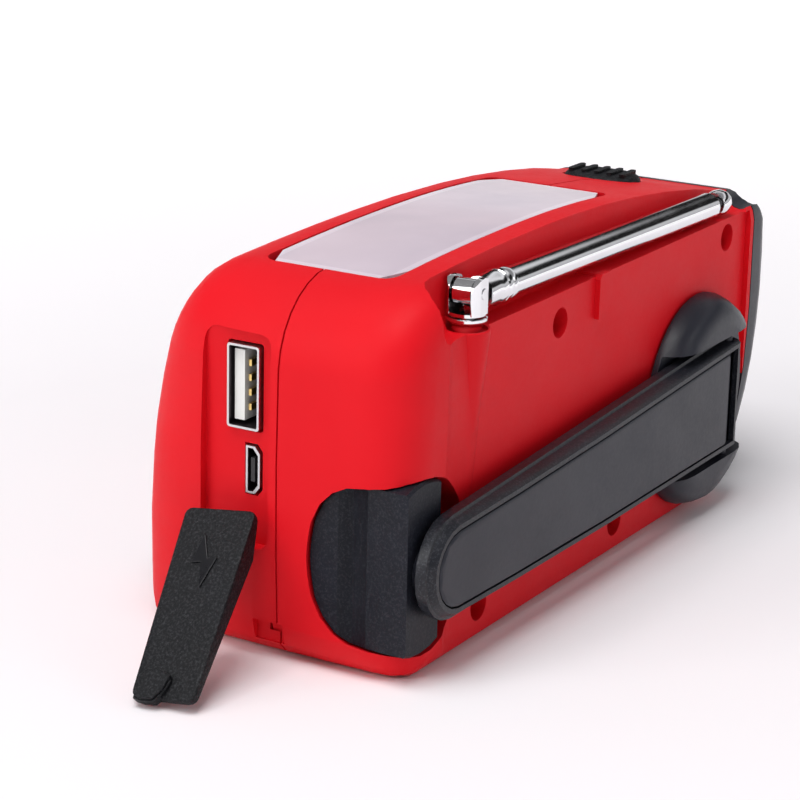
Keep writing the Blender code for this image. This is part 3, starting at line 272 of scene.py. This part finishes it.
RED = plastic("red_plastic", (0.70, 0.006, 0.013), roughness=0.48, grain=1300.0, depth=0.00003,
              wear=0.04, specular=0.12)
CHARCOAL = plastic("grey_plastic", (0.017, 0.018, 0.027), roughness=0.36, grain=1300.0,
                   depth=0.00003, wear=0.10, specular=0.30)
GRIP = textured_plastic("grip_plastic", (0.007, 0.008, 0.013), (0.030, 0.032, 0.040),
                        roughness=0.44, grain=1000.0, depth=0.00006, strength=0.35,
                        specular=0.2, groove=(0.0128, 0.0024))
BLACK = plastic("black_plastic", (0.018, 0.018, 0.020), 0.45)
WHITE = plastic("white_plastic", (0.80, 0.80, 0.77), 0.40)
ORANGE = plastic("orange_plastic", (0.85, 0.22, 0.02), 0.40)
BOARD = plastic("green_board", (0.02, 0.16, 0.06), 0.38)
FOIL = plastic("battery_wrap", (0.20, 0.30, 0.42), 0.30)
CONE = plastic("cone_paper", (0.05, 0.045, 0.04), 0.85)
RUBBER = textured_plastic("black_rubber", (0.0030, 0.0033, 0.0045), (0.040, 0.040, 0.045),
                          roughness=0.52, grain=1500.0, depth=0.00014, strength=0.9,
                          specular=0.2)
MARK = plastic("mark_rubber", (0.004, 0.004, 0.006), roughness=0.30, grain=1300.0,
               depth=0.00002, wear=0.10, specular=0.3)
ARM = textured_plastic("arm_plastic", (0.009, 0.010, 0.014), (0.05, 0.05, 0.06),
                       roughness=0.34, grain=800.0, depth=0.00007, strength=0.35,
                       specular=0.3)
DRAWN = (1.0, 1.0, 8.0)
CHROME = metal("chrome", (0.86, 0.86, 0.88), 0.09, (1.0, 6.0, 6.0))
STEEL = metal("steel", (0.62, 0.62, 0.63), 0.28, DRAWN, 700.0)
# Painted shade for the insides of the USB sockets, with a faint painted reflection of the red
# case
SHADED_STEEL = metal("shaded_steel", (0.11, 0.09, 0.10), 0.34, DRAWN, 700.0)
BRASS = metal("brass", (0.80, 0.58, 0.22), 0.25, DRAWN, 700.0)
CLEAR = clear_plastic("clear_plastic", (0.95, 0.95, 0.97), 0.05)
COVER = panel_cover()
SOLAR = solar_material()

# Every node with each look
USES = (
    (RED, ("front_shell", "back_shell")),
    (CHARCOAL, ("torch_bezel", "crank_hub", "crank_arm_plate", "tuning_knob", "volume_knob")),
    (CLEAR, ("torch_lens", "dial_window", "torch_lamp_1", "torch_lamp_2", "torch_lamp_3")),
    (CHROME, ("torch_reflector", "antenna_ferrule", "antenna_fork", "antenna_base",
              "antenna_section_2", "antenna_section_3", "antenna_section_4")),
    (BOARD, ("lamp_board", "main_board")),
    (SOLAR, ("solar_cell",)),
    (COVER, ("solar_cover",)),
    (BLACK, ("torch_switch", "micro_usb_tongue", "dial_plate", "tuning_capacitor",
             "volume_control", "band_slider")),
    (STEEL, ("usb_a_shell", "micro_usb_shell", "idler_axle", "generator", "gear_plate",
             "speaker_frame", "band_switch", "grip_pin", "case_screw_1", "case_screw_2",
             "case_screw_3", "case_screw_4")),
    (WHITE, ("usb_a_tongue", "drive_gear", "idler_gear")),
    (FOIL, ("battery",)),
    (CONE, ("speaker_cone",)),
    (ARM, ("crank_arm",)),
    (GRIP, ("crank_grip",)),
    (BRASS, ("generator_rotor", "usb_contact_1", "usb_contact_2", "usb_contact_3",
             "usb_contact_4")),
    (RUBBER, ("torch_button", "cover_leash", "port_cover")),
    (ORANGE, ("dial_pointer",)),
)
LOOKS = {name: look for look, names in USES for name in names}

SMOOTH_BELOW = math.radians(33.0)


def smoothed(item):
    """Join the separate facets, keep the hard edges and shade the rest smooth."""
    for flag in ("custom_normal", "sharp_edge", "sharp_face"):
        if flag in item.data.attributes:
            item.data.attributes.remove(item.data.attributes[flag])
    item.data.shade_smooth()
    join = item.modifiers.new("join", "WELD")
    join.merge_threshold = 0.000002
    edges = item.modifiers.new("edges", "EDGE_SPLIT")
    edges.split_angle = SMOOTH_BELOW
    edges.use_edge_sharp = False
    item.modifiers.new("face_normals", "WEIGHTED_NORMAL")


for name, look in LOOKS.items():
    nodes[name].data.materials.clear()
    nodes[name].data.materials.append(look)
    smoothed(nodes[name])


def line_inside(name, look):
    """Give the inward faces of a socket's shell a look of their own: painted shade, dark steel
    with a faint painted red reflection.
    """
    mesh = nodes[name].data
    mesh.materials.append(look)
    low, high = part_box(name)
    middle = (Vector(low) + Vector(high)) / 2
    for face in mesh.polygons:
        inward = middle - face.center
        inward.x = 0.0
        if abs(face.normal.x) < 0.5 and face.normal.dot(inward) > 0:
            face.material_index = 1


for name in ("usb_a_shell", "micro_usb_shell"):
    line_inside(name, SHADED_STEEL)


# ---------------------------------------------------------------- small marks

COVER_TILT = math.radians(45.0)
COVER_TURN = math.radians(8.5)
COVER_ROOT = Vector((65.3, -8.1, 23.9)) * MM
BOLT_DOWN = 8.8
MARK_HEIGHT = 0.00030
TAB_HEIGHT = 0.0006
TAB_LIFT = 0.0005
TICK_HEIGHT = 0.00003
TICK_HALF_WIDTH = 0.09
DIAL_TICKS = 19


def raised(name, outlines, place, height, look, body):
    """Flat raised marks in the X-Y plane of a place, joined in one piece."""
    code = bmesh.new()
    for outline in outlines:
        low = [code.verts.new((x, y, -height)) for x, y in outline]
        high = [code.verts.new((x, y, height)) for x, y in outline]
        code.faces.new(list(reversed(low)))
        code.faces.new(high)
        for index in range(len(low)):
            after = (index + 1) % len(low)
            code.faces.new((low[index], low[after], high[after], high[index]))
    bmesh.ops.recalc_face_normals(code, faces=code.faces)
    mesh = bpy.data.meshes.new(name)
    code.to_mesh(mesh)
    code.free()
    mesh.transform(place)
    mesh.materials.append(look)
    item = bpy.data.objects.new(name, mesh)
    bpy.context.collection.objects.link(item)
    soften = item.modifiers.new("soften", "BEVEL")
    soften.width = height * 0.35
    soften.segments = 2
    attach(item, body)


def cover_place():
    """Frame of the hanging cover's outer face: X down its length, Y across, Z outward."""
    down = Vector((math.sin(COVER_TILT), 0.0, -math.cos(COVER_TILT)))
    out = Vector((math.cos(COVER_TILT), 0.0, math.sin(COVER_TILT)))
    place = Matrix((down, Vector((0.0, 1.0, 0.0)), out)).transposed().to_4x4()
    place.translation = COVER_ROOT
    return place @ Matrix.Rotation(COVER_TURN, 4, "Z")


def cover_marks():
    """A plain lightning bolt near the root of the port cover, and a pull tab at its end."""
    bolt = [(-4.4, 1.2), (0.6, 2.0), (0.4, 0.5), (4.6, -0.6), (-0.5, -2.0), (-0.3, -0.5)]
    shifted = [((x + BOLT_DOWN) * MM, -y * MM) for x, y in bolt]
    raised("cover_mark", [shifted], cover_place(), MARK_HEIGHT, MARK, "port_cover")
    tab = [(27.4, -3.4), (28.4, -4.3), (31.6, -4.2), (32.1, -3.0), (32.0, -1.0), (30.4, 0.2),
           (28.0, 0.9), (27.2, -1.2)]
    outline = [(x * MM, y * MM) for x, y in tab]
    lifted = cover_place() @ Matrix.Translation((0.0, 0.0, TAB_LIFT))
    raised("cover_tab", [outline], lifted, TAB_HEIGHT, RUBBER, "port_cover")


def dial_marks():
    """Plain tick marks on the dial plate, in two rows."""
    low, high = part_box("dial_plate")
    left, right = low[0] + 3.2 * MM, high[0] - 3.2 * MM
    outlines = []
    for index in range(DIAL_TICKS):
        x = left + (right - left) * index / (DIAL_TICKS - 1)
        length = 1.8 * MM if index % 3 == 0 else 1.0 * MM
        for start in (low[2] + 9.2 * MM, low[2] + 4.6 * MM):
            outlines.append([(x - TICK_HALF_WIDTH * MM, start), (x + TICK_HALF_WIDTH * MM, start),
                             (x + TICK_HALF_WIDTH * MM, start + length),
                             (x - TICK_HALF_WIDTH * MM, start + length)])
    face = Matrix(((1, 0, 0, 0), (0, 0, -1, low[1] - 0.00004), (0, 1, 0, 0), (0, 0, 0, 1)))
    raised("dial_marks", outlines, face, TICK_HEIGHT, WHITE, "case")


cover_marks()
dial_marks()


# ---------------------------------------------------------------- stage

LAMPS_AIM = Vector((0.0, 0.0, 0.03))


def floor():
    """Pale floor that glows softly away from the part, so it fades into the backdrop."""
    mesh = bpy.data.meshes.new("floor")
    size = 3.0
    square = [(-size, -size, 0), (size, -size, 0), (size, size, 0), (-size, size, 0)]
    mesh.from_pydata(square, [], [(0, 1, 2, 3)])
    item = bpy.data.objects.new("floor", mesh)
    bpy.context.collection.objects.link(item)
    s = Shader("floor", 0.6, 0.0, 0.2)
    away = s.node("ShaderNodeVectorMath", operation="LENGTH")
    s.link(s.place, away.inputs[0])
    s.base.inputs["Emission Color"].default_value = (1.0, 1.0, 1.0, 1.0)
    glow = s.spread(away.outputs["Value"], 0.0, 0.7, 0.12, 0.75)
    s.link(glow, s.base.inputs["Emission Strength"])
    # The floor's faint pink tint is painted red bounce light from the case
    s.colour(s.ramp(s.noise(6.0, 3.0), ((0.3, (0.92, 0.89, 0.915)), (0.7, (0.94, 0.91, 0.935)))))
    s.bump(((s.noise(200.0, 2.0), 0.00002, 0.1),))
    item.data.materials.append(s.material)


def lamp(name, place, size, power):
    """Rectangular area light, aimed at the part."""
    data = bpy.data.lights.new(name, "AREA")
    data.shape = "RECTANGLE"
    data.size, data.size_y = size
    data.energy = power
    item = bpy.data.objects.new(name, data)
    item.location = place
    item.rotation_euler = (LAMPS_AIM - Vector(place)).to_track_quat("-Z", "Y").to_euler()
    bpy.context.collection.objects.link(item)


def world():
    """White to the camera; in reflections a pale horizon, a dark studio and a pale ceiling."""
    made = bpy.data.worlds.new("studio")
    made.use_nodes = True
    tree = made.node_tree
    sky = tree.nodes["Background"]
    place = tree.nodes.new("ShaderNodeTexCoord")
    parts = tree.nodes.new("ShaderNodeSeparateXYZ")
    bands = tree.nodes.new("ShaderNodeValToRGB")
    stops = ((0.0, 0.3), (0.50, 0.45), (0.60, 0.66), (0.62, 0.01), (0.72, 0.01),
             (0.745, 0.95), (0.84, 0.25))
    for _ in range(len(stops) - 2):
        bands.color_ramp.elements.new(0.5)
    for element, (position, level) in zip(bands.color_ramp.elements, stops):
        element.position = position
        element.color = (level, level, level * 1.02, 1.0)
    height = tree.nodes.new("ShaderNodeMapRange")
    height.inputs["From Min"].default_value = -1.0
    tree.links.new(place.outputs["Generated"], parts.inputs["Vector"])
    tree.links.new(parts.outputs["Z"], height.inputs["Value"])
    tree.links.new(height.outputs["Result"], bands.inputs["Fac"])
    tree.links.new(bands.outputs["Color"], sky.inputs["Color"])
    plain = tree.nodes.new("ShaderNodeBackground")
    plain.inputs["Color"].default_value = (1.0, 1.0, 1.0, 1.0)
    seen = tree.nodes.new("ShaderNodeLightPath")
    mixed = tree.nodes.new("ShaderNodeMixShader")
    tree.links.new(seen.outputs["Is Camera Ray"], mixed.inputs["Fac"])
    tree.links.new(sky.outputs["Background"], mixed.inputs[1])
    tree.links.new(plain.outputs["Background"], mixed.inputs[2])
    tree.links.new(mixed.outputs["Shader"], tree.nodes["World Output"].inputs["Surface"])
    bpy.context.scene.world = made


def camera():
    data = bpy.data.cameras.new("camera")
    data.lens = CAMERA_LENS
    data.sensor_width = 36.0
    data.clip_start = 0.01
    data.clip_end = 20.0
    item = bpy.data.objects.new("camera", data)
    azimuth, elevation = math.radians(CAMERA_AZIMUTH), math.radians(CAMERA_ELEVATION)
    level = math.cos(elevation)
    back = Vector((math.sin(azimuth) * level, -math.cos(azimuth) * level, math.sin(elevation)))
    right = Vector((0, 0, 1)).cross(back).normalized()
    up = back.cross(right)
    roll = Matrix.Rotation(math.radians(CAMERA_ROLL), 3, "Z")
    item.rotation_euler = (Matrix((right, up, back)).transposed() @ roll).to_euler()
    item.location = CAMERA_PLACE
    bpy.context.collection.objects.link(item)
    bpy.context.scene.camera = item


floor()
world()
camera()
lamp("key", (0.45, 0.0, 1.3), (0.9, 0.9), 14.5)
lamp("left", (1.1, -0.6, 0.6), (0.7, 0.7), 5.2)
lamp("back", (-0.3, 1.2, 0.7), (0.9, 0.5), 1.3)
bpy.context.scene.view_settings.view_transform = "Standard"
